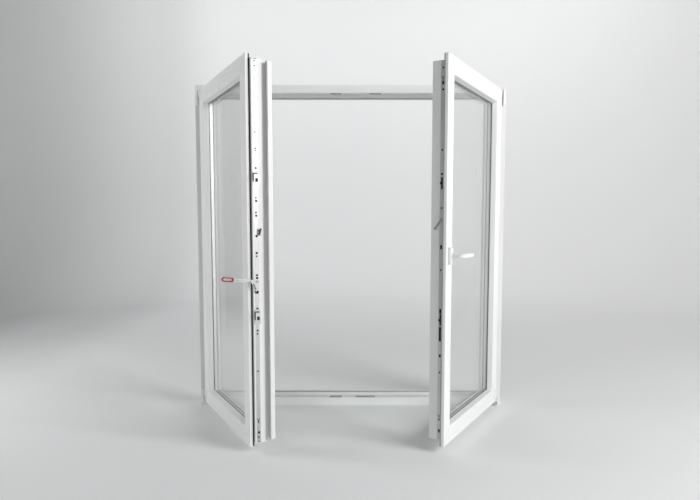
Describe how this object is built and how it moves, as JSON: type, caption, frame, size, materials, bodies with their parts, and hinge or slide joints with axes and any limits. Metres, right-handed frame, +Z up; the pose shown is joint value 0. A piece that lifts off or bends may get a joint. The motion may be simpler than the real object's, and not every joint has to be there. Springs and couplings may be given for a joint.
{
  "type": "casement window",
  "caption": "White two-leaf window that opens inwards: passive leaf with astragal and lever gear, active tilt-and-turn leaf with handle, insulating glass.",
  "frame": {"origin": "middle of the outer frame's underside, in the middle of its width and depth", "axes": "+X to the right seen from the room, +Y outdoors, +Z up"},
  "size_m": [1.465, 0.7854, 1.535],
  "materials": {
    "pvc_white": "white extruded PVC-U with a satin gloss",
    "seal_dark": "dark grey rubber",
    "seal_grey": "mid grey soft PVC",
    "steel_zinc": "bright zinc-plated steel, brushed",
    "cast_zinc": "silver zinc die casting",
    "black_metal": "black passivated steel",
    "handle_white": "white powder coat",
    "grip_red": "red moulded plastic",
    "cap_white": "white moulded plastic",
    "glass": "clear float glass",
    "spacer": "aluminium spacer bar"
  },
  "bodies": {
    "root": {"frame_sill": "pvc_white", "frame_head": "pvc_white", "frame_jamb_left": "pvc_white", "frame_jamb_right": "pvc_white", "frame_steel": "steel_zinc", "frame_seal": "seal_grey", "frame_keeps": "cast_zinc", "keep_screws": "steel_zinc", "left_frame_hinges": "cap_white", "right_frame_bearings": "cap_white"},
    "passive_lever": {"passive_lever": "steel_zinc", "passive_lever_grip": "grip_red"},
    "passive_rods": {"passive_rods": "steel_zinc"},
    "passive_top_slider": {"passive_top_slider": "steel_zinc"},
    "passive_bottom_slider": {"passive_bottom_slider": "steel_zinc"},
    "right_swivel": {"right_hinge_swivel": "steel_zinc"},
    "stay_arm": {"right_stay_arm": "steel_zinc"},
    "handle": {"handle_lever": "handle_white", "handle_spindle": "steel_zinc", "gear_follower": "cast_zinc"},
    "active_rod": {"active_rod": "steel_zinc", "active_cams": "black_metal"},
    "passive_link": {"passive_link": "steel_zinc"},
    "active_top_slider": {"active_top_slider": "steel_zinc"},
    "active_bottom_slider": {"active_bottom_slider": "steel_zinc"},
    "lift_lever": {"lift_lever": "cast_zinc"},
    "left_leaf": {"astragal": "pvc_white", "astragal_caps": "cap_white", "astragal_keep_screws": "steel_zinc", "astragal_keeps": "cast_zinc", "left_beads": "pvc_white", "left_bottom_rail": "pvc_white", "left_glazing_seals": "seal_dark", "left_hinge_flaps": "cap_white", "left_hinge_stile": "pvc_white", "left_lock_stile": "pvc_white", "left_outer_pane": "glass", "left_overlap_seal": "seal_dark", "left_room_pane": "glass", "left_sash_steel": "steel_zinc", "left_spacer": "spacer", "left_top_rail": "pvc_white", "passive_faceplate": "steel_zinc", "passive_gear_case": "cast_zinc"},
    "right_leaf": {"active_faceplate": "steel_zinc", "gearbox": "cast_zinc", "handle_rosette": "handle_white", "handle_screws": "steel_zinc", "right_beads": "pvc_white", "right_bottom_rail": "pvc_white", "right_glazing_seals": "seal_dark", "right_hinge_bracket": "cast_zinc", "right_hinge_stile": "pvc_white", "right_lock_stile": "pvc_white", "right_outer_pane": "glass", "right_overlap_seal": "seal_dark", "right_room_pane": "glass", "right_sash_steel": "steel_zinc", "right_spacer": "spacer", "right_top_rail": "pvc_white"}
  },
  "joints": [
    {"name": "left_turn", "type": "hinge", "parent": "root", "child": "left_leaf", "pos_m": [-0.7165, -0.061, 0.8], "axis": [0, 0, -1], "range_deg": [-62.6, 32.4]},
    {"name": "passive_lever_turn", "type": "hinge", "parent": "left_leaf", "child": "passive_lever", "pos_m": [-0.35323, -0.68142, 0.668], "axis": [0.4602, -0.8878, 0], "range_deg": [-84, 0]},
    {"name": "passive_link_swing", "type": "hinge", "parent": "passive_lever", "child": "passive_link", "pos_m": [-0.36947, -0.69547, 0.6702], "axis": [0.4602, -0.8878, 0], "range_deg": [0, 57.5]},
    {"name": "passive_rod_slide", "type": "slide", "parent": "left_leaf", "child": "passive_rods", "axis": [0, 0, 1], "range_m": [0, 0.01601]},
    {"name": "passive_top_slide", "type": "slide", "parent": "left_leaf", "child": "passive_top_slider", "axis": [0.4602, -0.8878, 0], "range_m": [0, 0.01601]},
    {"name": "passive_bottom_slide", "type": "slide", "parent": "left_leaf", "child": "passive_bottom_slider", "axis": [0.4602, -0.8878, 0], "range_m": [0, 0.01601]},
    {"name": "right_turn", "type": "hinge", "parent": "root", "child": "right_swivel", "pos_m": [0.7165, -0.061, 0.8], "axis": [0, 0, 1], "range_deg": [-60.6, 34.4]},
    {"name": "right_tilt", "type": "hinge", "parent": "right_swivel", "child": "right_leaf", "pos_m": [0.53609, -0.38117, 0.032], "axis": [0.4909, 0.8712, 0], "range_deg": [0, 5.5]},
    {"name": "stay_swing", "type": "hinge", "parent": "right_swivel", "child": "stay_arm", "pos_m": [0.7165, -0.061, 1.492], "axis": [0, 0, 1], "range_deg": [0, 20.5]},
    {"name": "handle_turn", "type": "hinge", "parent": "right_leaf", "child": "handle", "pos_m": [0.42145, -0.68445, 0.763], "axis": [0.8712, -0.4909, 0], "range_deg": [-90, 90]},
    {"name": "active_rod_slide", "type": "slide", "parent": "right_leaf", "child": "active_rod", "axis": [0, 0, 1], "range_m": [-0.01801, 0.01801]},
    {"name": "active_top_slide", "type": "slide", "parent": "right_leaf", "child": "active_top_slider", "axis": [0.4909, 0.8712, 0], "range_m": [-0.01801, 0.01801]},
    {"name": "active_bottom_slide", "type": "slide", "parent": "right_leaf", "child": "active_bottom_slider", "axis": [0.4909, 0.8712, 0], "range_m": [-0.01801, 0.01801]},
    {"name": "lift_lever_swing", "type": "hinge", "parent": "right_leaf", "child": "lift_lever", "pos_m": [0.34177, -0.65677, 0.9], "axis": [0.4909, 0.8712, 0], "range_deg": [-36, 0]}
  ],
  "couplings": [
    {"joint": "passive_link_swing", "follows": "passive_lever_turn", "ratio": -0.68302},
    {"joint": "passive_rod_slide", "follows": "passive_lever_turn", "m_per_rad": -0.010913},
    {"joint": "passive_top_slide", "follows": "passive_lever_turn", "m_per_rad": -0.010913},
    {"joint": "passive_bottom_slide", "follows": "passive_lever_turn", "m_per_rad": -0.010913},
    {"joint": "stay_swing", "follows": "right_tilt", "ratio": 3.72},
    {"joint": "active_rod_slide", "follows": "handle_turn", "m_per_rad": -0.011459},
    {"joint": "active_top_slide", "follows": "handle_turn", "m_per_rad": -0.011459},
    {"joint": "active_bottom_slide", "follows": "handle_turn", "m_per_rad": -0.011459}
  ]
}
